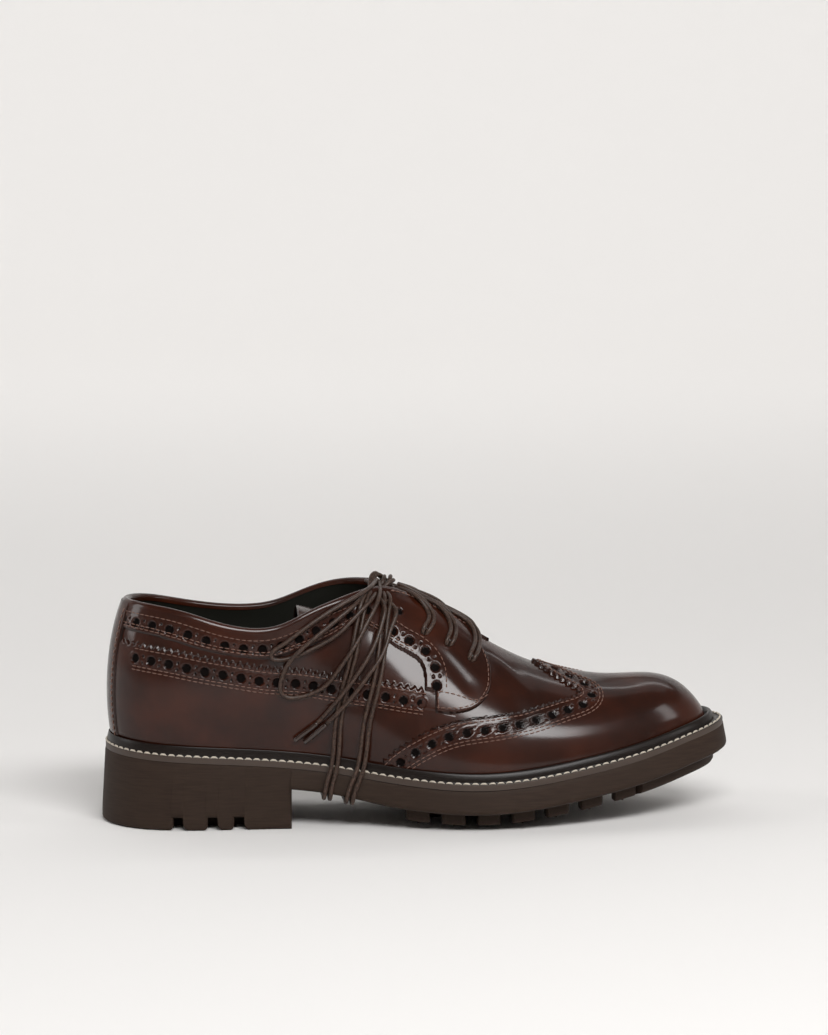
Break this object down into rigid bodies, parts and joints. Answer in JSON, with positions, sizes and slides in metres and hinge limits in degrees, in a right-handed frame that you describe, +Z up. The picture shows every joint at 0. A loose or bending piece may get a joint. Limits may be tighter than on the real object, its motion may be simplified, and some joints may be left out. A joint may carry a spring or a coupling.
{
  "type": "wing-tip brogue shoe",
  "caption": "Men's wing-tip brogue shoe for the right foot, with open lacing, storm welt, hollow upper and a lugged rubber sole with a block heel.",
  "frame": {"origin": "on the floor, at the middle of the heel's underside", "axes": "+X runs from heel to toe, +Y to the inner side of the foot, +Z up"},
  "size_m": [0.3085, 0.1123, 0.1197],
  "materials": {
    "upper_leather": "polished brown calf",
    "lining": "dark lining leather",
    "welt": "waxed dark edge",
    "sole_rubber": "matt moulded dark brown rubber",
    "lace_cord": "waxed dark brown cord",
    "lace_tip": "dark clear film"
  },
  "bodies": {
    "root": {"outsole": "sole_rubber", "storm_welt": "welt", "insole": "lining", "upper": "upper_leather", "tongue": "upper_leather", "wing_cap": "upper_leather", "back_strap": "upper_leather", "heel_band_lateral": "upper_leather", "heel_band_medial": "upper_leather", "facing_lateral": "upper_leather", "facing_medial": "upper_leather", "lace_bars": "lace_cord", "lace_knot": "lace_cord", "lace_loop_1": "lace_cord", "lace_loop_2": "lace_cord", "lace_end_1": "lace_cord", "lace_end_2": "lace_cord", "lace_wrap_1": "lace_cord", "lace_wrap_2": "lace_cord", "lace_wrap_3": "lace_cord", "lace_wrap_4": "lace_cord", "aglet_1": "lace_tip", "aglet_2": "lace_tip"}
  },
  "joints": []
}
